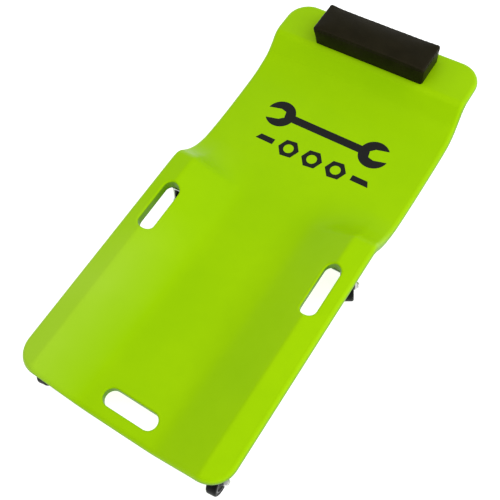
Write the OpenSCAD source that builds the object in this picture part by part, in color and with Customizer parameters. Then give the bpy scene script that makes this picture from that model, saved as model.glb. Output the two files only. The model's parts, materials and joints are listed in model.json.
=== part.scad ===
// Low-profile mechanics creeper: a one-piece hollow moulded bed with hand slots,
// a padded head rest and six ball-bearing swivel casters.
// Millimetres, +Z up. The origin is on the floor under the middle of the bed,
// +Y points to the head end and +X to the right-hand side seen from the foot.

/* [Bed] */
// Overall length of the bed
bed_len = 1031; // [990:1:1070]
// Overall width across the side wings
bed_w = 476; // [460:1:485]
// Width across the head end
head_w = 465; // [450:1:470]
// Plan radius of the four corners
corner_r = 52; // [44:1:60]
// Radius of the rolled rim
edge_r = 10; // [9:0.5:11]
// Height of the rim of the wings and of the head platform
rim_z = 105; // [103:0.5:108]
// Height of the flat undersides that carry the casters
under_z = 85; // [85:0.5:86]
// Rise of the wing crest above the rim
crest_h = 7; // [0:0.5:10]
// Wall thickness of the hollow moulding
wall = 3.2; // [2.6:0.1:3.6]

/* [Hand slots] */
// Distance of the side slots from the centre line
slot_x = 190; // [184:1:192]
// Position of the side slots along the bed
slot_y = -103.5; // [-160:0.5:-80]
// Clear length of the side slots
slot_len = 119; // [100:1:125]
// Clear width of the side slots
slot_w = 34; // [24:1:36]
// Clear length of the foot slot, across the bed
foot_slot_len = 121; // [100:1:140]
// Clear width of the foot slot
foot_slot_w = 36; // [26:0.5:38]
// Distance of the foot slot's centre line from the foot edge
foot_slot_s = 46; // [42:0.2:60]

/* [Head cushion] */
// Length of the cushion across the bed
pad_w = 262; // [240:1:280]
// Depth of the cushion along the bed
pad_d = 79; // [70:1:84]
// Height of the cushion above the platform
pad_h = 48; // [40:1:56]
// Position of the cushion's centre along the bed
pad_y = 456; // [454:0.5:458]
// Thickness of the cushion's base board
board_t = 7; // [6:0.5:9]

/* [Casters] */
// Radius of the tyre; the axle is one radius above the floor
wheel_r = 32; // [31:0.5:32.5]
// Width of the tyre
wheel_w = 21; // [18:0.5:22]
// Trail of the axle behind the swivel axis
trail = 25; // [22:0.5:26]
// Distance of the foot and middle swivel axes from the centre line
caster_x = 200; // [194:1:201]
// Distance of the head swivel axes from the centre line
head_caster_x = 186; // [182:1:190]

/* [Hidden] */
$fn = 48;
sides = ["foot_left", "foot_right", "mid_left", "mid_right", "head_left", "head_right"];
pieces = ["plate", "fork", "axle", "axle_nut", "sleeve", "hub", "tyre"];

half = bed_len / 2;
k_len = bed_len / 1031;
// Swivel axes, in the order of the names above, each with the angle it rests at:
// at 0 the wheel trails straight toward the foot
caster_pos = [
    [-caster_x, -458.5 * k_len, 8], [caster_x, -458.5 * k_len, 6],
    [-caster_x, -17.5 * k_len, 24], [caster_x, -17.5 * k_len, 30],
    [-head_caster_x, 457.5 * k_len, -10], [head_caster_x, 457.5 * k_len, 14]
];

// Heights along the bed, as [distance from the foot edge, height]
top_mid = [[0, 65], [47, 63.5], [120, 60], [220, 53], [320, 50], [540, 49.5], [716, 48], [820, 50.5],
    [840, 53], [856, 56.5], [872, 61.5], [887, 69], [900, 79.5], [912, 91], [921, 100], [932, rim_z], [1031, rim_z]];
top_edge = [[0, rim_z], [537, rim_z], [548, 101], [558, 91.5], [568, 82], [581, 72.5], [596, 64], [614, 57],
    [638, 51.5], [716, 48], [820, 50.5], [840, 53], [856, 56.5], [872, 61.5], [887, 69], [900, 79.5], [912, 91],
    [921, 100], [932, rim_z], [1031, rim_z]];
low_mid = [[0, 45], [47, 43.5], [120, 40], [220, 33], [320, 30], [540, 29.5], [716, 28], [840, 31], [856, 33],
    [872, 36.5], [887, 41.5], [900, 50], [912, 60], [921, 68.5], [932, 78], [943, under_z], [1031, under_z]];
low_edge = [[0, under_z], [528, under_z], [538, 79], [548, 71], [558, 62.5], [568, 55], [581, 46.5], [596, 40],
    [614, 34.5], [638, 30.5], [716, 28], [840, 31], [856, 33], [872, 36.5], [887, 41.5], [900, 50], [912, 60],
    [921, 68.5], [932, 78], [943, under_z], [1031, under_z]];
// How much of the wing crest is left along the bed
crest_left = [[0, 1], [505, 1], [537, 0.75], [558, 0.3], [581, 0]];
// Half width along the bed
half_w = [[0, bed_w / 2], [545, bed_w / 2], [600, (bed_w - 3) / 2], [850, (bed_w - 3) / 2], [935, head_w / 2], [1031, head_w / 2]];

crest_x = 190;   // the crest of each wing
floor_x = 86;    // edge of the flat floor of the hollow
low_x = 172;     // inner edge of the flat undersides of the wings

// A straight bank with a rounded foot: 0 at the middle, 1 at x1
function knee(t) = (t + sqrt(t * t + 0.02)) / 2;
function bank(x, x0, x1) =
    let (a = knee(-x0 / (x1 - x0)), b = knee(1))
    min(1, max(0, (knee((abs(x) - x0) / (x1 - x0)) - a) / (b - a)));

function top_z(x, s) =
    let (c = lookup(s, top_mid), e = lookup(s, top_edge), k = crest_h * lookup(s, crest_left))
    abs(x) <= crest_x ? c + (e + k - c) * bank(x, floor_x, crest_x)
                      : e + k * max(0, bed_w / 2 - abs(x)) / (bed_w / 2 - crest_x);
function low_z(x, s) =
    let (c = lookup(s, low_mid), e = lookup(s, low_edge))
    c + (e - c) * bank(x, 80, low_x);

// Rows of the surface grid: [distance from the foot edge, half width, outward normal x, y]
function corner_rows(n, foot) = [
    for (k = [0:n]) let (t = foot ? 90 * k / n : 90 - 90 * k / n, r = corner_r - edge_r, w = foot ? bed_w / 2 : head_w / 2)
        [foot ? edge_r + r * (1 - cos(t)) : 1031 - edge_r - r * (1 - cos(t)), w - corner_r + r * sin(t),
         sin(t), foot ? -cos(t) : cos(t)]
];
function grid_rows(n, mid) = concat(
    corner_rows(n, true),
    [for (s = mid) [s, lookup(s, half_w) - edge_r, 1, 0]],
    corner_rows(n, false)
);

// A closed skin over the bed's outline, sunk by g from the outer surface
module skin(g, cols, mid, nc, bands) {
    xs = concat([for (i = [len(cols) - 1:-1:1]) -cols[i]], cols);
    rows = grid_rows(nc, mid);
    n = len(xs) - 1;
    m = len(rows) - 1;
    cell = concat(
        [for (i = [0:n]) [i, 0]], [for (j = [1:m]) [n, j]],
        [for (i = [n - 1:-1:0]) [i, m]], [for (j = [m - 1:-1:1]) [0, j]]
    );
    np = len(cell);
    nb = len(bands);
    nt = (n + 1) * (m + 1);
    er = edge_r - g;
    at = function (i, j) [xs[i] * rows[j][1] / cols[len(cols) - 1], rows[j][0]];
    place = function (x, s, z) [x, s * k_len - half, z];
    pts = concat(
        [for (j = [0:m]) for (i = [0:n]) let (p = at(i, j)) place(p.x, p.y, top_z(p.x, p.y) - g)],
        [for (a = bands) for (c = cell)
            let (p = at(c[0], c[1]), r = rows[c[1]],
                 nx = (c[1] == 0 || c[1] == m) ? 0 : (c[0] == 0 ? -r[2] : r[2]),
                 ny = c[1] == 0 ? -1 : c[1] == m ? 1 : r[3],
                 zt = top_z(p.x, p.y) - g, zl = low_z(p.x, p.y) + g)
            place(p.x + nx * er * cos(a), p.y + ny * er * cos(a), (zt + zl) / 2 + (zt - zl) / 2 * sin(a))],
        [for (j = [0:m]) for (i = [0:n]) let (p = at(i, j)) place(p.x, p.y, low_z(p.x, p.y) + g)]
    );
    t = function (i, j) j * (n + 1) + i;
    ring = function (k, q) let (c = cell[q % np])
        k < 0 ? t(c[0], c[1]) : k >= nb ? nt + nb * np + t(c[0], c[1]) : nt + k * np + q % np;
    low = nt + nb * np;
    fcs = concat(
        [for (j = [0:m - 1]) for (i = [0:n - 1]) each
            [[t(i, j), t(i, j + 1), t(i + 1, j + 1)], [t(i, j), t(i + 1, j + 1), t(i + 1, j)]]],
        [for (k = [-1:nb - 1]) for (q = [0:np - 1]) each
            [[ring(k, q), ring(k, q + 1), ring(k + 1, q + 1)], [ring(k, q), ring(k + 1, q + 1), ring(k + 1, q)]]],
        [for (j = [0:m - 1]) for (i = [0:n - 1]) each
            [[low + t(i, j), low + t(i + 1, j + 1), low + t(i, j + 1)],
             [low + t(i, j), low + t(i + 1, j), low + t(i + 1, j + 1)]]]
    );
    polyhedron(pts, fcs, convexity = 6);
}

// Upright prism with round ends, long side along X
module slot_prism(len, w, z0, z1) {
    translate([0, 0, z0]) {
        translate([-(len - w) / 2, -w / 2, 0]) cube([len - w, w, z1 - z0]);
        for (e = [-1, 1]) translate([e * (len - w) / 2, 0, 0]) cylinder(d = w, h = z1 - z0);
    }
}
module hand_slots(grow) {
    for (e = [-1, 1]) translate([e * slot_x, slot_y, 0]) rotate([0, 0, 90])
        slot_prism(slot_len + 2 * grow, slot_w + 2 * grow, 0, 140);
    translate([0, foot_slot_s * k_len - half, 0])
        slot_prism(foot_slot_len + 2 * grow, foot_slot_w + 2 * grow, 0, 140);
}

screw_dx = 34;   // hole spacing of a caster plate, across the bed
screw_dy = 46;   // hole spacing of a caster plate, along the bed
module at_plate_holes() {
    for (c = caster_pos) for (a = [-1, 1]) for (b = [-1, 1])
        translate([c.x + a * screw_dx / 2, c.y + b * screw_dy / 2, 0]) children();
}
module at_pad_screws() {
    for (a = [-95, 95]) for (b = [-18, 18]) translate([a, pad_y * k_len + b, 0]) children();
}

module bed() {
    color("#99cc00") difference() {
        skin(0, [0, 30, 58, 76, 88, 102, 125, 150, 172, 190, 207, 225],
            [80, 130, 180, 240, 300, 370, 440, 500, 528, 537, 548, 558, 568, 581, 596, 614, 638, 676, 716,
             770, 820, 840, 856, 872, 887, 900, 912, 921, 932, 943],
            5, [60, 30, 0, -30, -60]);
        difference() {
            skin(wall, [0, 58, 88, 125, 172, 190, 225],
                [130, 240, 370, 500, 528, 548, 568, 596, 638, 716, 820, 856, 887, 912, 932, 943],
                3, [45, 0, -45]);
            hand_slots(wall);
            for (c = caster_pos) translate([c.x - 27, c.y - 33, 60]) cube([54, 66, 60]);
            at_pad_screws() cylinder(r = 8, h = 140);
        }
        hand_slots(0);
        for (c = caster_pos) translate([c.x - 26, c.y - 32, under_z - 8]) cube([52, 64, 8]);
        at_plate_holes() translate([0, 0, under_z - 5]) cylinder(r = 2.45, h = 19);
        at_pad_screws() translate([0, 0, under_z - 5]) cylinder(r = 2.45, h = 40);
        translate([0, -300, 15]) cylinder(r = 4, h = 25);
    }
}

// Block with rounded plan corners and rounded top edges
module soft_block(w, d, h, r) {
    intersection() {
        linear_extrude(h) rounded(w, d, r);
        translate([0, d / 2, 0]) rotate([90, 0, 0]) linear_extrude(d) round_top(w, h, r);
        translate([-w / 2, 0, 0]) rotate([90, 0, 90]) linear_extrude(w) round_top(d, h, r);
    }
}
module rounded(w, d, r) {
    square([w - 2 * r, d], center = true);
    square([w, d - 2 * r], center = true);
    for (a = [-1, 1]) for (b = [-1, 1]) translate([a * (w / 2 - r), b * (d / 2 - r)]) circle(r);
}
module round_top(w, h, r) {
    translate([-w / 2, 0]) square([w, h - r]);
    translate([-w / 2 + r, 0]) square([w - 2 * r, h]);
    for (a = [-1, 1]) translate([a * (w / 2 - r), h - r]) circle(r);
}
module at_pad() translate([0, pad_y * k_len, rim_z]) children();

skin_t = 1.6;    // thickness of the cushion's vinyl cover
module cushion_cover() {
    color("#1b1817") at_pad() difference() {
        soft_block(pad_w, pad_d, pad_h, 6);
        translate([0, 0, -1]) soft_block(pad_w - 2 * skin_t, pad_d - 2 * skin_t, pad_h - skin_t + 1, 4.4);
    }
}
module cushion_foam() {
    color("#d8c88a") at_pad() difference() {
        soft_block(pad_w - 2 * skin_t - 0.2, pad_d - 2 * skin_t - 0.2, pad_h - skin_t - 0.1, 4.3);
        translate([-pad_w / 2, -pad_d / 2, -1]) cube([pad_w, pad_d, board_t + 1.1]);
    }
}
module cushion_board() {
    color("burlywood") at_pad() difference() {
        linear_extrude(board_t) rounded(pad_w - 2 * skin_t - 0.4, pad_d - 2 * skin_t - 0.4, 4);
        for (a = [-95, 95]) for (b = [-18, 18]) translate([a, b, -1]) cylinder(r = 2.25, h = 6.5);
    }
}

// Pan-head screw, head down, shank from z0 up to z1
module pan_screw(r_head, h_head, r, z0, z1) {
    difference() {
        translate([0, 0, z0 - h_head]) cylinder(r1 = r_head * 0.78, r2 = r_head, h = h_head);
        translate([-r_head * 0.55, -0.6, z0 - h_head - 1]) cube([r_head * 1.1, 1.2, 2.2]);
        translate([-0.6, -r_head * 0.55, z0 - h_head - 1]) cube([1.2, r_head * 1.1, 2.2]);
    }
    translate([0, 0, z0 - 0.2]) cylinder(r = r, h = z1 - z0 - 2.8);
    translate([0, 0, z1 - 3]) cylinder(r1 = r, r2 = 0.6, h = 3);
}
module cushion_screws() {
    color("silver") at_pad_screws() pan_screw(5.2, 3, 2.2, under_z, rim_z + 5.3);
}
plate_t = 2.5;
module caster_screws() {
    color("silver") at_plate_holes() pan_screw(4.8, 2.8, 2.4, under_z - plate_t, under_z + 13.5);
}

// Caster heights
race_z = under_z - 9.2;          // centres of the bearing balls
crown_z = under_z - 17;          // underside of the fork's crown
leg_x = 13.5;                    // inner faces of the fork's legs
leg_t = 2.5;

module kingpins() {
    color("silver") for (c = caster_pos) translate([c.x, c.y, 0]) {
        translate([0, 0, crown_z - 3.8]) cylinder(r1 = 5.8, r2 = 7, h = 1.2);
        translate([0, 0, crown_z - 2.6]) cylinder(r = 7, h = 2.3);
        translate([0, 0, crown_z - 1]) cylinder(r = 4, h = under_z - 0.3 - crown_z + 1);
    }
}
module race_balls() {
    color("gainsboro") for (c = caster_pos) translate([c.x, c.y, race_z])
        for (a = [0:30:330]) rotate([0, 0, a]) translate([12.5, 0, 0]) sphere(r = 2.4, $fn = 24);
}

module plate(c) {
    color("silver") translate([c.x, c.y, 0]) difference() {
        union() {
            translate([0, 0, under_z - plate_t]) linear_extrude(plate_t) rounded(46, 58, 5);
            translate([0, 0, under_z - 8.5]) cylinder(r = 17, h = 8);
        }
        translate([0, 0, race_z]) rotate_extrude() translate([12.5, 0]) circle(r = 2.45, $fn = 32);
        translate([0, 0, under_z - 12]) cylinder(r = 4.05, h = 20);
        for (a = [-1, 1]) for (b = [-1, 1]) translate([a * screw_dx / 2, b * screw_dy / 2, under_z - 5])
            cylinder(r = 2.7, h = 10);
    }
}
module fork(c) {
    az = wheel_r;
    color("lightgray") translate([c.x, c.y, 0]) rotate([0, 0, c.z]) difference() {
        union() {
            translate([0, 0, crown_z]) cylinder(r = 21, h = 3);
            translate([-leg_x - leg_t, -21, crown_z]) cube([2 * (leg_x + leg_t), 34, 3]);
            translate([0, 0, crown_z + 2]) cylinder(r = 17, h = 5);
            for (e = [-1, 1]) translate([e * (leg_x + leg_t / 2) - leg_t / 2, 0, 0]) {
                translate([0, -trail, az]) rotate([0, 90, 0]) cylinder(r = 9, h = leg_t);
                translate([leg_t, 0, 0]) rotate([0, -90, 0]) linear_extrude(leg_t)
                    polygon([[az - 4.5, -trail - 7.8], [az + 3, -trail - 8.5], [crown_z - 5, -21], [crown_z + 3, -21],
                             [crown_z + 3, 13], [crown_z - 3, 13], [az + 9, -trail + 17], [az - 5, -trail + 7.4]]);
            }
        }
        translate([0, 0, race_z]) rotate_extrude() translate([12.5, 0]) circle(r = 2.7, $fn = 32);
        translate([0, 0, crown_z - 1]) cylinder(r = 4.08, h = 20);
        translate([-leg_x - leg_t - 1, -trail, az]) rotate([0, 90, 0]) cylinder(r = 4.1, h = 2 * (leg_x + leg_t) + 2);
    }
}
module at_axle(c) translate([c.x, c.y, 0]) rotate([0, 0, c.z]) translate([0, -trail, wheel_r]) rotate([0, 90, 0]) children();
module axle(c) {
    color("silver") at_axle(c) {
        translate([0, 0, -leg_x - leg_t - 3.6]) cylinder(r = 6.6, h = 3.6, $fn = 6);
        translate([0, 0, -leg_x - leg_t - 0.5]) cylinder(r = 4, h = 2 * (leg_x + leg_t) + 5.9);
    }
}
module axle_nut(c) {
    color("silver") at_axle(c) translate([0, 0, leg_x + leg_t]) difference() {
        union() {
            cylinder(r = 6.6, h = 3.4, $fn = 6);
            translate([0, 0, 3.2]) cylinder(r = 5, h = 1.4);
        }
        translate([0, 0, -1]) cylinder(r = 4.02, h = 8);
    }
}
module sleeve(c) {
    color("gray") at_axle(c) difference() {
        translate([0, 0, -leg_x]) cylinder(r = 5.4, h = 2 * leg_x);
        translate([0, 0, -leg_x - 1]) cylinder(r = 4.05, h = 2 * leg_x + 2);
    }
}
tread_r = wheel_r - 7;
module hub(c) {
    color("#262626") at_axle(c) rotate_extrude()
        let (b = leg_x - 0.4, h = wheel_w / 2 - 0.8)
        polygon([[5.45, -b], [9, -b], [9.6, -5], [11, -3.4], [20, -3.4], [21.6, -5.4], [22, -h], [tread_r, -h],
                 [tread_r, h], [22, h], [21.6, 5.4], [20, 3.4], [11, 3.4], [9.6, 5], [9, b], [5.45, b]]);
}
module tyre(c) {
    h = wheel_w / 2;
    color("#141414") at_axle(c) difference() {
        rotate_extrude() union() {
            translate([tread_r - 3, -h]) square([6, 2 * h]);
            translate([tread_r - 3, -h + 4]) square([10, 2 * h - 8]);
            for (e = [-1, 1]) translate([tread_r + 3, e * (h - 4)]) circle(r = 4);
        }
        translate([0, 0, -h - 1]) cylinder(r = tread_r + 0.05, h = 2 * h + 2);
    }
}

bed();
cushion_cover();
cushion_foam();
cushion_board();
cushion_screws();
caster_screws();
kingpins();
race_balls();
for (i = [0:5]) {
    plate(caster_pos[i]);
    fork(caster_pos[i]);
    axle(caster_pos[i]);
    axle_nut(caster_pos[i]);
    sleeve(caster_pos[i]);
    hub(caster_pos[i]);
    tyre(caster_pos[i]);
}
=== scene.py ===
import bpy, bmesh, json, math
import numpy as np
from mathutils import Vector, Matrix
from mathutils.geometry import delaunay_2d_cdt


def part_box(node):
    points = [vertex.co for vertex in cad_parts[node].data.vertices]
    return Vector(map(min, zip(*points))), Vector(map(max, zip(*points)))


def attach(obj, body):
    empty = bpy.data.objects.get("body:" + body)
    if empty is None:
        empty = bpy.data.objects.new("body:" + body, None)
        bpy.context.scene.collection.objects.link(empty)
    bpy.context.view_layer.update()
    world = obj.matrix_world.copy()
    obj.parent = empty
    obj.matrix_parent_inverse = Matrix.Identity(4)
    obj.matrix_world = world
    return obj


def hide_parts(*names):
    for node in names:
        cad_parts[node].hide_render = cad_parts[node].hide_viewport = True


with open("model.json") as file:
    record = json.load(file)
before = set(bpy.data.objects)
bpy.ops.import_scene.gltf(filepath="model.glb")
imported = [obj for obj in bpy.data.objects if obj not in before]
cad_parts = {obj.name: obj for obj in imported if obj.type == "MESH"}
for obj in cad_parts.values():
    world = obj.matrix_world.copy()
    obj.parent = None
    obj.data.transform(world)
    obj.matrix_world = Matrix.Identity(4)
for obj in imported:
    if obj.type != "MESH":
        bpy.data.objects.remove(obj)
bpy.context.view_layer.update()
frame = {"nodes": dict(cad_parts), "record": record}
scene = bpy.context.scene
nodes = frame["nodes"]
MM = 0.001
LEN = 1031.0
HALF = LEN / 2
RIM, UND = 105.0, 85.0
EDGE_R, CORNER_R = 10.0, 52.0
CREST = 7.0


# ---------------------------------------------------------------- camera, light, floor
def camera():
    data = bpy.data.cameras.new("camera")
    data.lens, data.sensor_width, data.sensor_fit = 57.38, 36.0, "HORIZONTAL"
    data.clip_start, data.clip_end = 0.05, 50.0
    cam = bpy.data.objects.new("camera", data)
    scene.collection.objects.link(cam)
    r, u, b = (0.83441, 0.54050, -0.10776), (-0.43364, 0.76453, 0.47692), (0.34017, -0.35122, 0.87231)
    p = (0.5541, -0.6409, 1.4521)
    cam.matrix_world = Matrix(((r[0], u[0], b[0], p[0]), (r[1], u[1], b[1], p[1]), (r[2], u[2], b[2], p[2]), (0, 0, 0, 1)))
    scene.camera = cam


def area(name, direction, distance, size, power, color=(1, 1, 1), target=(0, 0, 0.08)):
    data = bpy.data.lights.new(name, "AREA")
    data.shape, data.size, data.size_y = "RECTANGLE", size[0], size[1]
    data.energy, data.color = power, color
    ob = bpy.data.objects.new(name, data)
    d = Vector(direction).normalized()
    ob.location = Vector(target) + d * distance
    ob.rotation_euler = d.to_track_quat("Z", "Y").to_euler()
    scene.collection.objects.link(ob)


def stage():
    bpy.ops.mesh.primitive_grid_add(x_subdivisions=2, y_subdivisions=2, size=14.0, location=(0, 0, 0))
    floor = bpy.context.active_object
    floor.name = "floor"
    m = bpy.data.materials.new("floor")
    m.use_nodes = True
    b = m.node_tree.nodes["Principled BSDF"]
    b.inputs["Base Color"].default_value = (0.55, 0.55, 0.55, 1)
    b.inputs["Emission Color"].default_value = (1, 1, 1, 1)
    b.inputs["Emission Strength"].default_value = 0.80
    b.inputs["Roughness"].default_value = 0.85
    b.inputs["Specular IOR Level"].default_value = 0.1
    floor.data.materials.append(m)
    w = bpy.data.worlds.new("world")
    scene.world = w
    w.use_nodes = True
    w.node_tree.nodes["Background"].inputs["Color"].default_value = (1, 1, 1, 1)
    w.node_tree.nodes["Background"].inputs["Strength"].default_value = 0.83
    area("key", (0.60, 0.36, 0.72), 2.6, (1.7, 1.7), 17)
    area("top", (-0.10, -0.05, 1.0), 1.35, (0.9, 0.9), 3.4, target=(0, -0.12, 0.08))
    area("fill", (0.75, -0.60, 0.45), 3.2, (1.6, 1.2), 4)
    area("rim", (0.88, -0.10, 0.34), 1.9, (1.9, 0.22), 9)
    scene.view_settings.view_transform = "Standard"


# ---------------------------------------------------------------- node helpers
class Tree:
    """A material's nodes, built by short calls."""

    def __init__(self, name, **sockets):
        self.m = bpy.data.materials.new(name)
        self.m.use_nodes = True
        self.t = self.m.node_tree
        self.b = self.t.nodes["Principled BSDF"]
        for k, v in sockets.items():
            s = self.b.inputs[k.replace("_", " ")]
            s.default_value = v
        self.co = self.t.nodes.new("ShaderNodeTexCoord").outputs["Object"]
        self.n = 0

    def new(self, kind, **props):
        n = self.t.nodes.new(kind)
        self.n += 1
        n.location = (-200 - 40 * self.n, -60 * self.n)
        for k, v in props.items():
            setattr(n, k, v)
        return n

    def put(self, n, **vals):
        for k, v in vals.items():
            s = n.inputs[int(k[1:])] if k[0] == "i" and k[1:].isdigit() else n.inputs[k.replace("_", " ")]
            if isinstance(v, bpy.types.NodeSocket):
                self.t.links.new(v, s)
            else:
                s.default_value = v
        return n

    def scaled(self, x=1.0, y=1.0, z=1.0, rot=(0, 0, 0)):
        n = self.new("ShaderNodeMapping")
        self.put(n, Vector=self.co, Scale=(x, y, z), Rotation=rot)
        return n.outputs["Vector"]

    def noise(self, scale, detail=3.0, rough=0.5, vec=None, dist=0.0):
        n = self.new("ShaderNodeTexNoise")
        self.put(n, Vector=vec or self.co, Scale=scale, Detail=detail, Roughness=rough, Distortion=dist)
        return n.outputs["Fac"]

    def voronoi(self, scale, feature="F1", vec=None, rand=1.0):
        n = self.new("ShaderNodeTexVoronoi", feature=feature)
        self.put(n, Vector=vec or self.co, Scale=scale, Randomness=rand)
        return n.outputs["Distance"]

    def math(self, op, a, b=0.0, clamp=False):
        n = self.new("ShaderNodeMath", operation=op, use_clamp=clamp)
        self.put(n, i0=a, i1=b)
        return n.outputs[0]

    def span(self, v, a, b, lo=0.0, hi=1.0):
        n = self.new("ShaderNodeMapRange", clamp=True)
        self.put(n, Value=v, From_Min=a, From_Max=b, To_Min=lo, To_Max=hi)
        return n.outputs["Result"]

    def mix(self, fac, a, b, blend="MIX"):
        n = self.new("ShaderNodeMix", data_type="RGBA", blend_type=blend)
        self.put(n, i0=fac, i6=a, i7=b)
        return n.outputs[2]

    def bump(self, height, strength, distance, under=None):
        n = self.new("ShaderNodeBump")
        self.put(n, Height=height, Strength=strength, Distance=distance)
        if under is not None:
            self.t.links.new(under, n.inputs["Normal"])
        return n.outputs["Normal"]

    def link(self, socket, name):
        self.t.links.new(socket, self.b.inputs[name])
        return self


def rgba(r, g, b):
    return (r, g, b, 1.0)


def polyethylene():
    t = Tree("lime_polyethylene", IOR=1.51, Specular_IOR_Level=0.15, Specular_Tint=(1.0, 1.0, 0.08, 1.0))
    broad = t.noise(5.0, 2.0, 0.5)
    cloud = t.noise(38.0, 3.0, 0.55)
    c = t.mix(t.span(broad, 0.35, 0.65), rgba(0.255, 0.494, 0.0004), rgba(0.278, 0.520, 0.0005))
    c = t.mix(t.span(cloud, 0.45, 0.75, 0.0, 0.25), c, rgba(0.241, 0.472, 0.0004))
    scuff = t.noise(9.0, 5.0, 0.7, t.scaled(14.0, 1.0, 4.0))
    c = t.mix(t.span(scuff, 0.66, 0.80, 0.0, 0.10), c, rgba(0.40, 0.62, 0.05))
    # painted sheen: the left wing is painted a little paler and whiter towards the foot, standing in for the key
    # light's reflection on that bank
    sep = t.new("ShaderNodeSeparateXYZ")
    t.put(sep, Vector=t.co)
    painted_sheen = t.math("MULTIPLY", t.span(sep.outputs["X"], -0.09, -0.17), t.span(sep.outputs["Y"], -0.08, -0.30))
    painted_sheen = t.math("MULTIPLY", painted_sheen, t.span(broad, 0.3, 0.6, 0.55, 1.0))
    c = t.mix(painted_sheen, c, rgba(0.300, 0.515, 0.026))
    # painted shade: the upright and downward-facing faces of the rim and of the slots are painted a deeper green,
    # standing in for the shade along the rim's lower edge and inside the slots; faces looking straight down are left
    # unpainted
    nrm = t.new("ShaderNodeSeparateXYZ")
    t.put(nrm, Vector=t.co.node.outputs["Normal"])
    side = t.math("MULTIPLY", t.span(nrm.outputs["Z"], 0.60, -0.10), t.span(nrm.outputs["Z"], -0.80, -0.45))
    c = t.mix(side, c, rgba(0.065, 0.190, 0.0003))
    t.link(c, "Base Color")
    fine = t.noise(900.0, 2.0, 0.6)
    t.link(t.math("ADD", t.span(cloud, 0.3, 0.7, 0.34, 0.41), t.span(scuff, 0.6, 0.8, 0.0, 0.08)), "Roughness")
    wave = t.bump(t.noise(11.0, 1.0, 0.4), 0.25, 0.0012)
    t.link(t.bump(fine, 0.22, 0.0002, wave), "Normal")
    return t.m


def vinyl():
    t = Tree("black_vinyl", IOR=1.48, Specular_IOR_Level=0.12, Specular_Tint=(1.0, 0.9, 0.5, 1.0))
    grain = t.voronoi(620.0, "F1", t.scaled(1, 1, 1, (0.3, 0.2, 0.4)), 0.9)
    fold = t.noise(26.0, 3.0, 0.5)
    c = t.mix(t.span(fold, 0.35, 0.7), rgba(0.0048, 0.0040, 0.0018), rgba(0.0082, 0.0068, 0.0030))
    c = t.mix(t.span(grain, 0.0, 0.5, 0.35, 0.0), c, rgba(0.0035, 0.003, 0.0025))
    t.link(c, "Base Color")
    t.link(t.math("ADD", t.span(grain, 0.1, 0.6, 0.36, 0.44), t.span(fold, 0.3, 0.7, -0.03, 0.06)), "Roughness")
    soft = t.bump(t.noise(34.0, 3.0, 0.5), 0.35, 0.0010)
    t.link(t.bump(grain, 0.45, 0.00025, soft), "Normal")
    return t.m


def rubber():
    t = Tree("black_tread", IOR=1.4, Specular_IOR_Level=0.10)
    dust = t.noise(70.0, 5.0, 0.65)
    c = t.mix(t.span(dust, 0.5, 0.75, 0.0, 0.5), rgba(0.0022, 0.0022, 0.0024), rgba(0.0075, 0.0072, 0.007))
    t.link(c, "Base Color")
    t.link(t.span(dust, 0.3, 0.7, 0.32, 0.50), "Roughness")
    t.link(t.bump(t.noise(800.0, 3.0, 0.6), 0.25, 0.0002), "Normal")
    return t.m


def nylon():
    t = Tree("grey_nylon_hub", IOR=1.52)
    n = t.noise(55.0, 4.0, 0.6)
    t.link(t.mix(t.span(n, 0.35, 0.7), rgba(0.040, 0.041, 0.043), rgba(0.062, 0.063, 0.066)), "Base Color")
    t.link(t.span(n, 0.3, 0.7, 0.34, 0.48), "Roughness")
    t.link(t.bump(t.noise(1200.0, 2.0, 0.5), 0.2, 0.0001), "Normal")
    return t.m


def zinc(name, tint, r0, r1, spangle=0.35):
    t = Tree(name, Metallic=1.0)
    s = t.voronoi(260.0, "F1", None, 1.0)
    n = t.noise(60.0, 5.0, 0.65)
    lo = rgba(*[c * 0.80 for c in tint])
    c = t.mix(t.span(s, 0.0, 0.9, 0.0, spangle), rgba(*tint), lo)
    c = t.mix(t.span(n, 0.58, 0.8, 0.0, 0.45), c, rgba(*[k * 0.55 for k in tint]))
    t.link(c, "Base Color")
    t.link(t.span(n, 0.3, 0.75, r0, r1), "Roughness")
    scratch = t.noise(240.0, 4.0, 0.7, t.scaled(1.0, 12.0, 1.0))
    t.link(t.bump(scratch, 0.18, 0.0001), "Normal")
    return t.m


def plywood():
    t = Tree("raw_plywood", IOR=1.5)
    g = t.noise(90.0, 6.0, 0.65, t.scaled(0.12, 1.0, 1.0), 0.6)
    t.link(t.mix(t.span(g, 0.3, 0.7), rgba(0.42, 0.27, 0.13), rgba(0.60, 0.43, 0.24)), "Base Color")
    t.link(t.span(g, 0.3, 0.7, 0.62, 0.78), "Roughness")
    t.link(t.bump(g, 0.3, 0.0004), "Normal")
    return t.m


def ink():
    t = Tree("black_print", IOR=1.5, Specular_IOR_Level=0.2)
    n = t.noise(420.0, 4.0, 0.6)
    t.link(t.mix(t.span(n, 0.55, 0.75, 0.0, 0.5), rgba(0.003, 0.0035, 0.003), rgba(0.008, 0.011, 0.004)), "Base Color")
    t.link(t.span(n, 0.3, 0.7, 0.36, 0.5), "Roughness")
    t.link(t.bump(n, 0.15, 0.0001), "Normal")
    return t.m


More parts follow.
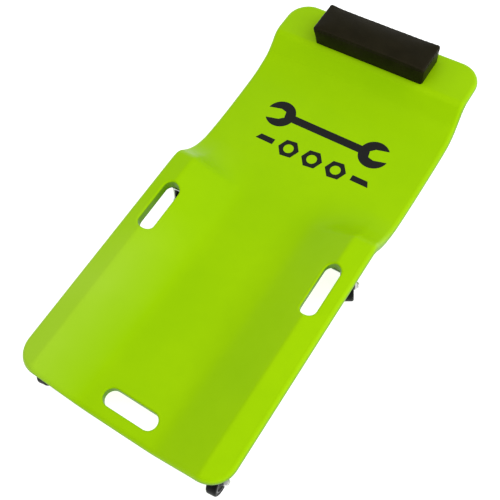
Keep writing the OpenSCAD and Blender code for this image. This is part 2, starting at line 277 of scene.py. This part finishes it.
# ---------------------------------------------------------------- the bed's surfaces, in mm
TOP_MID = [(0, 65), (47, 63.5), (120, 60), (220, 53), (320, 50), (540, 49.5), (716, 48), (820, 50.5),
           (840, 53), (856, 56.5), (872, 61.5), (887, 69), (900, 79.5), (912, 91), (921, 100), (932, RIM), (LEN, RIM)]
TOP_EDGE = [(0, RIM), (537, RIM), (548, 101), (558, 91.5), (568, 82), (581, 72.5), (596, 64), (614, 57),
            (638, 51.5), (716, 48), (820, 50.5), (840, 53), (856, 56.5), (872, 61.5), (887, 69), (900, 79.5), (912, 91),
            (921, 100), (932, RIM), (LEN, RIM)]
LOW_MID = [(0, 45), (47, 43.5), (120, 40), (220, 33), (320, 30), (540, 29.5), (716, 28), (840, 31), (856, 33),
           (872, 36.5), (887, 41.5), (900, 50), (912, 60), (921, 68.5), (932, 78), (943, UND), (LEN, UND)]
LOW_EDGE = [(0, UND), (528, UND), (538, 79), (548, 71), (558, 62.5), (568, 55), (581, 46.5), (596, 40),
            (614, 34.5), (638, 30.5), (716, 28), (840, 31), (856, 33), (872, 36.5), (887, 41.5), (900, 50), (912, 60),
            (921, 68.5), (932, 78), (943, UND), (LEN, UND)]
CREST_LEFT = [(0, 1), (505, 1), (537, 0.75), (558, 0.3), (581, 0), (LEN, 0)]
HALF_W = [(0, 238), (545, 238), (600, 236.5), (850, 236.5), (935, 232.5), (LEN, 232.5)]


def smooth_table(table):
    """A monotone cubic through the table's points."""
    x = np.array([p[0] for p in table], float)
    y = np.array([p[1] for p in table], float)
    h = np.diff(x)
    d = np.diff(y) / h
    m = np.zeros(len(x))
    for i in range(1, len(x) - 1):
        if d[i - 1] * d[i] > 0:
            w1, w2 = 2 * h[i] + h[i - 1], h[i] + 2 * h[i - 1]
            m[i] = (w1 + w2) / (w1 / d[i - 1] + w2 / d[i])
    m[0], m[-1] = d[0], d[-1]

    def f(s):
        s = np.clip(np.asarray(s, float), x[0], x[-1])
        i = np.clip(np.searchsorted(x, s) - 1, 0, len(h) - 1)
        t = (s - x[i]) / h[i]
        return (y[i] * (1 + 2 * t) * (1 - t) ** 2 + h[i] * m[i] * t * (1 - t) ** 2
                + y[i + 1] * t * t * (3 - 2 * t) - h[i] * m[i + 1] * t * t * (1 - t))
    return f


top_mid, top_edge, low_mid, low_edge, crest_left, half_w = map(
    smooth_table, (TOP_MID, TOP_EDGE, LOW_MID, LOW_EDGE, CREST_LEFT, HALF_W))


def knee(t):
    return (t + np.sqrt(t * t + 0.02)) / 2


def bank(x, x0, x1):
    a, b = knee(-x0 / (x1 - x0)), knee(1.0)
    return np.clip((knee((np.abs(x) - x0) / (x1 - x0)) - a) / (b - a), 0, 1)


def raw_top(x, s):
    c, e, k = top_mid(s), top_edge(s), CREST * crest_left(s)
    ax = np.abs(x)
    return np.where(ax <= 190, c + (e + k - c) * bank(x, 86, 190), e + k * np.clip(238 - ax, 0, None) / 48)


def top_z(x, s):
    return sum(raw_top(x + d, s) * w for d, w in ((-5, 1), (-3, 2), (-1, 3), (1, 3), (3, 2), (5, 1))) / 12.0


def low_z(x, s):
    def raw(x):
        c, e = low_mid(s), low_edge(s)
        return c + (e - c) * bank(x, 80, 172)
    return sum(raw(x + d) for d in (-4, -1.5, 1.5, 4)) / 4.0


def put(x, s, z):
    return (x * MM, (s - HALF) * MM, z * MM)


SLOTS = [  # centre x, centre s, clear length, clear width, long axis
    (-190.0, 412.0, 119.0, 34.0, "y"), (190.0, 412.0, 119.0, 34.0, "y"), (0.0, 46.0, 121.0, 36.0, "x")]


def bed_mesh():
    half_cols = np.concatenate([
        np.linspace(0, 90, 21), np.linspace(90, 154, 16)[1:], np.linspace(154, 180, 7)[1:],
        np.linspace(180, 200, 11)[1:], np.linspace(200, 220, 6)[1:], np.linspace(220, 225, 3)[1:]])
    cols = np.concatenate([-half_cols[:0:-1], half_cols])
    rows = []
    nc, r = 14, CORNER_R - EDGE_R
    for k in range(nc + 1):
        a = math.pi / 2 * k / nc
        rows.append((EDGE_R + r * (1 - math.cos(a)), 238 - CORNER_R + r * math.sin(a), math.sin(a), -math.cos(a)))
    mids = list(np.linspace(CORNER_R, 330, 67)[1:]) + list(np.linspace(330, 494, 42)[1:]) + \
        list(np.linspace(494, 640, 50)[1:]) + list(np.linspace(640, 830, 42)[1:]) + \
        list(np.linspace(830, 944, 40)[1:]) + list(np.linspace(944, LEN - CORNER_R, 9)[1:-1])
    for s in mids:
        rows.append((s, float(half_w(s)) - EDGE_R, 1.0, 0.0))
    for k in range(nc, -1, -1):
        a = math.pi / 2 * k / nc
        rows.append((LEN - EDGE_R - r * (1 - math.cos(a)), 232.5 - CORNER_R + r * math.sin(a), math.sin(a), math.cos(a)))
    n, m = len(cols) - 1, len(rows) - 1
    S = np.array([q[0] for q in rows])
    W = np.array([q[1] for q in rows])
    keep = 130.0
    ax = np.abs(cols)[None, :]
    X = np.sign(cols)[None, :] * np.where(ax <= keep, ax, keep + (ax - keep) * (W[:, None] - keep) / (225.0 - keep))
    SS = np.repeat(S[:, None], n + 1, 1)

    verts, faces = [], []

    def add(p):
        verts.append(p)
        return len(verts) - 1

    # cells that the slots and the moulding's vent take out
    def block(x0, x1, s0, s1):
        i0, i1 = int(np.argmin(np.abs(cols - x0))), int(np.argmin(np.abs(cols - x1)))
        j0, j1 = int(np.argmin(np.abs(S - s0))), int(np.argmin(np.abs(S - s1)))
        return i0, i1, j0, j1
    cut = []
    for cx, cs, ln, wd, way in SLOTS:
        hx, hs = (ln / 2, wd / 2) if way == "x" else (wd / 2, ln / 2)
        cut.append(block(cx - hx - 14, cx + hx + 14, cs - hs - 13, cs + hs + 13))
    vent = block(-14, 14, HALF - 300 - 14, HALF - 300 + 14)

    def surface(height, flip, holes):
        index = -np.ones((m + 1, n + 1), int)
        gone = np.zeros((m, n), bool)
        inside = np.zeros((m + 1, n + 1), bool)
        for i0, i1, j0, j1 in holes:
            gone[j0:j1, i0:i1] = True
            inside[j0 + 1:j1, i0 + 1:i1] = True
        Z = height(X, SS)
        for j in range(m + 1):
            for i in range(n + 1):
                if not inside[j, i]:
                    index[j, i] = add(put(X[j, i], S[j], Z[j, i]))
        for j in range(m):
            for i in range(n):
                if not gone[j, i]:
                    f = (index[j, i], index[j, i + 1], index[j + 1, i + 1], index[j + 1, i])
                    faces.append(f[::-1] if flip else f)
        return index

    top = surface(top_z, False, cut)
    low = surface(low_z, True, cut + [vent])

    # rolled rim
    loop = [(0, i) for i in range(n + 1)] + [(j, n) for j in range(1, m + 1)] + \
        [(m, i) for i in range(n - 1, -1, -1)] + [(j, 0) for j in range(m - 1, 0, -1)]
    rings = [[top[j, i] for j, i in loop]]
    zt, zl = top_z(X, SS), low_z(X, SS)
    for a in (80, 70, 60, 50, 40, 30, 20, 11, 5, 2.2, 0, -2.2, -5, -11, -20, -30, -40, -50, -60, -70, -80):
        ca, sa = math.cos(math.radians(a)), math.sin(math.radians(a))
        proud = 0.28 if a == 0 else 0.0
        ring = []
        for j, i in loop:
            nx, ny = rows[j][2], rows[j][3]
            if j in (0, m):
                nx = 0.0
            if i == 0:
                nx = -nx
            if i not in (0, n):
                nx = 0.0
            o = EDGE_R * ca + proud - (0.28 if proud else 0.0)
            mid, hh = (zt[j, i] + zl[j, i]) / 2, (zt[j, i] - zl[j, i]) / 2
            ring.append(add(put(X[j, i] + nx * o, S[j] + ny * o, mid + hh * sa)))
        rings.append(ring)
    rings.append([low[j, i] for j, i in loop])
    for a, b in zip(rings, rings[1:]):
        for k in range(len(loop)):
            q = (k + 1) % len(loop)
            faces.append((a[k], b[k], b[q], a[q]))

    # an opening with rolled lips through both walls
    def lip(cx, cs, ln, wd, way, hole, index, height, down, r_lip, spread=3.0):
        """Rings from the hole's edge in the grid to the opening's wall. Returns the last ring and its points."""
        i0, i1, j0, j1 = hole
        edge = [(j0, i) for i in range(i0, i1)] + [(j, i1) for j in range(j0, j1)] + \
            [(j1, i) for i in range(i1, i0, -1)] + [(j, i0) for j in range(j1, j0, -1)]
        b, rad = (ln - wd) / 2, wd / 2
        base, core = [], []
        for j, i in edge:
            p = np.array([X[j, i] - cx, S[j] - cs])
            q = np.array([min(max(p[0], -b), b), 0.0]) if way == "x" else np.array([0.0, min(max(p[1], -b), b)])
            d = (p - q) / np.linalg.norm(p - q)
            base.append(p)
            core.append((q, d))
        ring = [index[j, i] for j, i in edge]
        out = [ring]
        steps = 6
        for k in range(1, steps + 1):
            t = k / steps
            t = t * t * (3 - 2 * t) * 0.35 + t * 0.65
            pts = [(1 - t) * p + t * (q + d * (rad + r_lip)) for p, (q, d) in zip(base, core)]
            xs, ss = np.array([p[0] + cx for p in pts]), np.array([p[1] + cs for p in pts])
            z = height(xs, ss)
            out.append([add(put(x, s, h)) for x, s, h in zip(xs, ss, z)])
        for a in (12, 25, 38, 51, 64, 77, 90):
            ca, sa = math.cos(math.radians(a)), math.sin(math.radians(a))
            pts = [q + d * (rad + r_lip * (1 - sa)) for q, d in core]
            xs, ss = np.array([p[0] + cx for p in pts]), np.array([p[1] + cs for p in pts])
            z = height(xs, ss) + down * r_lip * (1 - ca)
            out.append([add(put(x, s, h)) for x, s, h in zip(xs, ss, z)])
        return out

    def skin(rs, flip):
        for a, b in zip(rs, rs[1:]):
            for k in range(len(a)):
                q = (k + 1) % len(a)
                f = (a[k], a[q], b[q], b[k])
                faces.append(f[::-1] if flip else f)

    for (cx, cs, ln, wd, way), hole in zip(SLOTS, cut):
        up = lip(cx, cs, ln, wd, way, hole, top, top_z, -1, 4.5)
        dn = lip(cx, cs, ln, wd, way, hole, low, low_z, 1, 3.0)
        skin(up, False)
        skin(dn, True)
        a, b = up[-1], dn[-1]
        wall = [a]
        for t in (0.25, 0.5, 0.75):
            wall.append([add(tuple((1 - t) * verts[p][c] + t * verts[q][c] for c in range(3))) for p, q in zip(a, b)])
        wall.append(b)
        skin(wall, False)
    # the vent: a small blind hole in the underside
    dn = lip(0, HALF - 300, 8.0, 8.0, "x", vent, low, low_z, 1, 0.8)
    deep = [add((verts[v][0], verts[v][1], verts[v][2] + 6 * MM)) for v in dn[-1]]
    dn.append(deep)
    skin(dn, True)
    c = add(put(0, HALF - 300, float(low_z(np.array(0.0), np.array(HALF - 300))) + 6.8))
    for k in range(len(deep)):
        faces.append((deep[(k + 1) % len(deep)], deep[k], c))
    return verts, faces


def mesh_object(name, verts, faces, mats, smooth=True):
    me = bpy.data.meshes.new(name)
    me.from_pydata([tuple(v) for v in verts], [], [tuple(int(i) for i in f) for f in faces])
    me.validate()
    bm = bmesh.new()
    bm.from_mesh(me)
    bmesh.ops.remove_doubles(bm, verts=bm.verts, dist=1e-6)
    bmesh.ops.recalc_face_normals(bm, faces=bm.faces)
    bm.to_mesh(me)
    bm.free()
    for m in mats:
        me.materials.append(m)
    me.polygons.foreach_set("use_smooth", [smooth] * len(me.polygons))
    ob = bpy.data.objects.new(name, me)
    scene.collection.objects.link(ob)
    return ob


# ---------------------------------------------------------------- the head cushion
def cushion(mat):
    lo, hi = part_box("cushion_cover")
    cx, cy = (lo.x + hi.x) / 2, (lo.y + hi.y) / 2
    W, D, H, z0 = (hi.x - lo.x), (hi.y - lo.y), (hi.z - lo.z), lo.z
    inset = 0.0006
    w, d, h = W / 2 - inset, D / 2 - inset, H - 0.002
    r = 0.0060
    nx, ny, nz = 58, 18, 11
    bm = bmesh.new()
    cache = {}

    def vert(x, y, z):
        # push a point of the plain box onto the box with rounded edges
        qx, qy, qz = min(max(x, -w + r), w - r), min(max(y, -d + r), d - r), min(z, h - r)
        v = Vector((x - qx, y - qy, z - qz))
        if v.length > 1e-9:
            p = Vector((qx, qy, qz)) + v.normalized() * r
        else:
            p = Vector((x, y, z))
        key = (round(p.x, 6), round(p.y, 6), round(p.z, 6))
        if key not in cache:
            cache[key] = bm.verts.new((cx + p.x, cy + p.y, z0 + p.z))
        return cache[key]

    def axis(n, a, b, r0, r1):
        """Stations from a to b, close together in the rounded ends."""
        t = [a]
        if r0:
            t += [a + r * (1 - math.cos(math.radians(q))) * 1.0 + 0 for q in ()] + [a + r * 0.33, a + r * 0.66]
            s = a + r
            t.append(s)
        else:
            s = a
        e = b - r if r1 else b
        t += list(np.linspace(s, e, n)[1:])
        if r1:
            t += [b - r * 0.66, b - r * 0.33, b]
        return t
    AX, AY, AZ = axis(nx, -w, w, 1, 1), axis(ny, -d, d, 1, 1), axis(nz, 0.0, h, 0, 1)

    def sheet(us, vs, f):
        g = [[f(u, v) for u in us] for v in vs]
        for j in range(len(vs) - 1):
            for i in range(len(us) - 1):
                q = (g[j][i], g[j][i + 1], g[j + 1][i + 1], g[j + 1][i])
                if len(set(q)) == 4:
                    try:
                        bm.faces.new(q)
                    except ValueError:
                        pass
    sheet(AX, AY, lambda u, v: vert(u, v, h))
    sheet(AX, AZ, lambda u, v: vert(u, -d, v))
    sheet(AX, AZ, lambda u, v: vert(u, d, v))
    sheet(AY, AZ, lambda u, v: vert(-w, u, v))
    sheet(AY, AZ, lambda u, v: vert(w, u, v))
    bmesh.ops.recalc_face_normals(bm, faces=bm.faces)
    me = bpy.data.meshes.new("head_cushion")
    bm.to_mesh(me)
    bm.free()
    ob = bpy.data.objects.new("head_cushion", me)
    scene.collection.objects.link(ob)

    co = np.array([v.co for v in me.vertices])
    rel = co - np.array([cx, cy, z0])
    # how close a point is to a sewn edge: the four top edges and the four upright ones
    fx, fy, fz = w - np.abs(rel[:, 0]), d - np.abs(rel[:, 1]), h - rel[:, 2]
    second = np.sort(np.stack([fx, fy, fz], 1), 1)[:, 1]
    near = np.clip(1 - second / 0.012, 0, 1)
    pin = np.clip(np.maximum(near * 0.55, np.clip(1 - rel[:, 2] / 0.006, 0, 1)), 0, 1)
    group = ob.vertex_groups.new(name="pin")
    for i, p in enumerate(pin):
        group.add([i], float(p), "REPLACE")
    mod = ob.modifiers.new("cloth", "CLOTH")
    s = mod.settings
    s.quality, s.mass = 8, 0.35
    s.tension_stiffness = s.compression_stiffness = 24
    s.shear_stiffness, s.bending_stiffness = 14, 3.0
    s.vertex_group_mass, s.pin_stiffness = "pin", 1.0
    s.use_pressure, s.uniform_pressure_force = True, 18.0
    s.effector_weights.gravity = 0.0
    mod.point_cache.frame_start, mod.point_cache.frame_end = 1, 20
    scene.frame_start, scene.frame_end = 1, 20
    for f in range(1, 21):
        scene.frame_set(f)
    dg = bpy.context.evaluated_depsgraph_get()
    got = np.array([v.co for v in ob.evaluated_get(dg).data.vertices])
    move = got - co
    size = np.linalg.norm(move, axis=1, keepdims=True)
    cap = 0.0055
    move = move * np.where(size > cap, cap / np.maximum(size, 1e-9), 1.0)
    ob.modifiers.remove(mod)
    scene.frame_set(1)
    co = co + move
    me.vertices.foreach_set("co", co.ravel())
    me.update()

    # two subdivisions, then the seams and the small pulls beside them
    sub = ob.modifiers.new("sub", "SUBSURF")
    sub.levels = sub.render_levels = 2
    dg = bpy.context.evaluated_depsgraph_get()
    fine = bpy.data.meshes.new_from_object(ob.evaluated_get(dg))
    ob.modifiers.clear()
    ob.data = fine
    co = np.array([v.co for v in fine.vertices])
    nm = np.array([v.normal for v in fine.vertices])
    rel = co - np.array([cx, cy, z0])
    fz = h - rel[:, 2]
    ring = np.maximum(np.abs(rel[:, 0]) - w, np.abs(rel[:, 1]) - d)
    side = (ring > -0.004) & (rel[:, 2] < h + 0.001)
    # the top panel is sewn to the side band a little below the top edge
    seam = np.exp(-((fz - 0.0052) / 0.0011) ** 2) * side
    along = np.where(np.abs(rel[:, 0]) / w > np.abs(rel[:, 1]) / d, rel[:, 1], rel[:, 0])
    pull = np.sin(along * 2 * math.pi / 0.013 + 0.9 * np.sin(along * 61.0)) * np.exp(-((fz - 0.0052) / 0.006) ** 2) * side
    corner = (np.abs(np.abs(rel[:, 0]) - w) < 0.02) & (np.abs(np.abs(rel[:, 1]) - d) < 0.02)
    dx, dy = w - np.abs(rel[:, 0]), d - np.abs(rel[:, 1])
    upright = np.exp(-((dx - dy) / 0.0011) ** 2) * corner * (rel[:, 2] < h - 0.006) * np.clip((rel[:, 2] - 0.007) / 0.008, 0, 1)
    co -= nm * (0.00095 * np.maximum(seam, upright) + 0.00022 * pull)[:, None]
    wr = np.sin(rel[:, 0] * 97 + 1.7 * np.sin(rel[:, 1] * 88)) * np.sin(rel[:, 1] * 71 + rel[:, 2] * 60 + 0.6)
    co += nm * (0.00022 * wr * np.clip(rel[:, 2] / 0.01, 0, 1))[:, None]
    floor = z0
    dome = np.clip(1 - (rel[:, 0] / w) ** 2, 0, 1) ** 0.6 * np.clip(1 - (rel[:, 1] / d) ** 2, 0, 1) ** 0.8
    co[:, 2] += 0.0018 * dome * np.clip((rel[:, 2] - h + 0.006) / 0.005, 0, 1)
    co[:, 2] = np.maximum(co[:, 2], floor)
    # the ends lean out a little at the top
    flare = np.clip(rel[:, 2] / h, 0, 1) ** 1.5 * np.clip(np.abs(rel[:, 0]) / w, 0, 1) ** 8
    co[:, 0] += np.where(rel[:, 0] < 0, -0.0058, 0.0030) * flare
    ear = flare * np.clip(np.abs(rel[:, 1]) / d, 0, 1) ** 3 * np.sign(rel[:, 1])
    co[:, 1] += ear * np.where(rel[:, 0] < 0, 0.0048, 0.0022)
    lim_x, lim_y = W / 2 + 0.0072, D / 2 + 0.0060
    co[:, 0] = np.clip(co[:, 0], cx - lim_x, cx + lim_x)
    co[:, 1] = np.clip(co[:, 1], cy - lim_y, cy + lim_y)
    fine.vertices.foreach_set("co", co.ravel())
    fine.update()
    # close the underside around the base board
    bm = bmesh.new()
    bm.from_mesh(fine)
    rim = [e for e in bm.edges if e.is_boundary]
    blo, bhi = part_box("cushion_board")
    got = bmesh.ops.extrude_edge_only(bm, edges=rim)
    new = [g for g in got["geom"] if isinstance(g, bmesh.types.BMVert)]
    for v in new:
        v.co.x = min(max(v.co.x, blo.x - 0.0002), bhi.x + 0.0002)
        v.co.y = min(max(v.co.y, blo.y - 0.0002), bhi.y + 0.0002)
        v.co.z = z0
    rim = [e for e in bm.edges if e.is_boundary]
    got = bmesh.ops.extrude_edge_only(bm, edges=rim)
    new = [g for g in got["geom"] if isinstance(g, bmesh.types.BMVert)]
    for v in new:
        v.co.z = bhi.z + 0.0002
    rim = [e for e in bm.edges if e.is_boundary]
    bmesh.ops.contextual_create(bm, geom=rim)
    bmesh.ops.remove_doubles(bm, verts=bm.verts, dist=1e-6)
    bmesh.ops.triangulate(bm, faces=[f for f in bm.faces if len(f.verts) > 4])
    bmesh.ops.recalc_face_normals(bm, faces=bm.faces)
    bm.to_mesh(fine)
    bm.free()
    fine.materials.clear()
    fine.materials.append(mat)
    fine.polygons.foreach_set("use_smooth", [True] * len(fine.polygons))
    return ob


# ---------------------------------------------------------------- a plain workshop sign in place of any lettering
def arc(cx, cy, r, a0, a1, n):
    return [(cx + r * math.cos(math.radians(a0 + (a1 - a0) * k / n)), cy + r * math.sin(math.radians(a0 + (a1 - a0) * k / n)))
            for k in range(n + 1)]


def turned(pts, ang, dx, dy):
    c, s = math.cos(math.radians(ang)), math.sin(math.radians(ang))
    return [(x * c - y * s + dx, x * s + y * c + dy) for x, y in pts]


def spanner(length, head, jaw, shaft):
    """An open-ended spanner's outline along X, centred."""
    h = length / 2 - head
    def end(sgn):
        a_j = math.degrees(math.asin(jaw / head))
        a_s = math.degrees(math.asin(shaft / head))
        tilt = 15
        left = arc(0, 0, head, 180 - a_s, a_j + tilt, 18)
        mouth = turned([(head * math.cos(math.radians(a_j)), jaw), (head * 0.05, jaw), (-head * 0.30, jaw * 0.55),
                        (-head * 0.30, -jaw * 0.55), (head * 0.05, -jaw), (head * math.cos(math.radians(a_j)), -jaw)], tilt, 0, 0)
        right = arc(0, 0, head, -a_j + tilt, -180 + a_s, 18)
        p = left + mouth[1:-1] + right
        return [(sgn * x + sgn * h, sgn * y) for x, y in p]
    return end(1) + end(-1)


def hexagon(cx, cy, r, turn=0):
    return [(cx + r * math.cos(math.radians(60 * k + turn)), cy + r * math.sin(math.radians(60 * k + turn))) for k in range(6)]


def inside(p, poly):
    x, y = p
    hit = False
    for (x0, y0), (x1, y1) in zip(poly, poly[1:] + poly[:1]):
        if (y0 > y) != (y1 > y) and x < (x1 - x0) * (y - y0) / (y1 - y0) + x0:
            hit = not hit
    return hit


def printed_sign(mat):
    loops = []
    loops.append(turned(spanner(300, 34, 14, 9.5), 0, -4, 762))
    for k, x in enumerate((-56, 2, 60)):
        loops.append(hexagon(x, 690, 24, 8))
        loops.append(arc(x, 690, 11.5, 0, 360, 28)[:-1])
    loops.append([(-136, 683), (-94, 683), (-94, 697), (-129, 697)])
    loops.append([(98, 683), (140, 683), (133, 697), (98, 697)])
    pts, edges = [], []
    for lp in loops:
        # short steps along each side, so that the print follows the surface
        dense = []
        for (x0, y0), (x1, y1) in zip(lp, lp[1:] + lp[:1]):
            k = max(1, int(math.hypot(x1 - x0, y1 - y0) // 5))
            dense += [(x0 + (x1 - x0) * t / k, y0 + (y1 - y0) * t / k) for t in range(k)]
        a = len(pts)
        pts += dense
        edges += [(a + i, a + (i + 1) % len(dense)) for i in range(len(dense))]
    for gx in np.arange(-168, 169, 6.0):
        for gy in np.arange(655, 806, 6.0):
            if sum(inside((gx, gy), lp) for lp in loops) % 2:
                pts.append((gx + 0.01, gy + 0.013))
    vs, es, fs, _, _, _ = delaunay_2d_cdt([Vector(p) for p in pts], edges, [], 0, 1e-4)
    tris = []
    for f in fs:
        c = sum((vs[i] for i in f), Vector((0, 0))) / len(f)
        if sum(inside((c.x, c.y), lp) for lp in loops) % 2:
            tris.append(f)
    xy = np.array([(v.x, v.y) for v in vs])
    z = top_z(xy[:, 0], xy[:, 1])
    up = [put(x, y, h + 0.22) for (x, y), h in zip(xy, z)]
    dn = [put(x, y, h - 0.25) for (x, y), h in zip(xy, z)]
    n = len(up)
    faces = [tuple(f) for f in tris] + [tuple(i + n for i in reversed(f)) for f in tris]
    count = {}
    for f in tris:
        for a, b in zip(f, f[1:] + f[:1]):
            count[(a, b)] = True
    for a, b in list(count):
        if (b, a) not in count:
            faces.append((a, a + n, b + n, b))
    used = sorted({i for f in faces for i in f})
    remap = {v: k for k, v in enumerate(used)}
    verts = [(up + dn)[i] for i in used]
    faces = [tuple(remap[i] for i in f) for f in faces]
    ob = mesh_object("printed_sign", verts, faces, [mat], smooth=False)
    return ob


# ---------------------------------------------------------------- build
camera()
stage()
M = dict(bed=polyethylene(), vinyl=vinyl(), tyre=rubber(), hub=nylon(), ink=ink(), board=plywood(),
         steel=zinc("bright_zinc_steel", (0.62, 0.62, 0.63), 0.18, 0.36),
         screws=zinc("zinc_screws", (0.60, 0.60, 0.60), 0.24, 0.42, 0.2),
         sleeve=zinc("oiled_steel", (0.48, 0.47, 0.46), 0.28, 0.44, 0.15))

v, f = bed_mesh()
bed = mesh_object("bed_shell", v, f, [M["bed"]])
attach(bed, "root")
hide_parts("bed")

pad = cushion(M["vinyl"])
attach(pad, "root")
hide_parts("cushion_cover", "cushion_foam")

sign = printed_sign(M["ink"])
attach(sign, "root")

slot_of = {q["node"]: q["material_slot"] for q in frame["record"]["subparts"]}
for name, ob in nodes.items():
    if name in ("bed", "cushion_cover", "cushion_foam"):
        continue
    mat = M.get(slot_of.get(name), M["steel"])
    ob.data.materials.clear()
    ob.data.materials.append(mat)
    if "custom_normal" in ob.data.attributes:
        ob.data.attributes.remove(ob.data.attributes["custom_normal"])
    ob.data.polygons.foreach_set("use_smooth", [True] * len(ob.data.polygons))
    weld = ob.modifiers.new("weld", "WELD")
    weld.merge_threshold = 0.00001
    if name != "race_balls":
        bev = ob.modifiers.new("soft_edges", "BEVEL")
        bev.width = 0.0011 if name.endswith("_tyre") else 0.0005 if name.endswith(("_fork", "_hub", "_plate")) else 0.0003
        bev.segments, bev.limit_method, bev.angle_limit = 2, "ANGLE", math.radians(38)
        bev.harden_normals = False
        ob.modifiers.new("normals", "WEIGHTED_NORMAL").keep_sharp = True
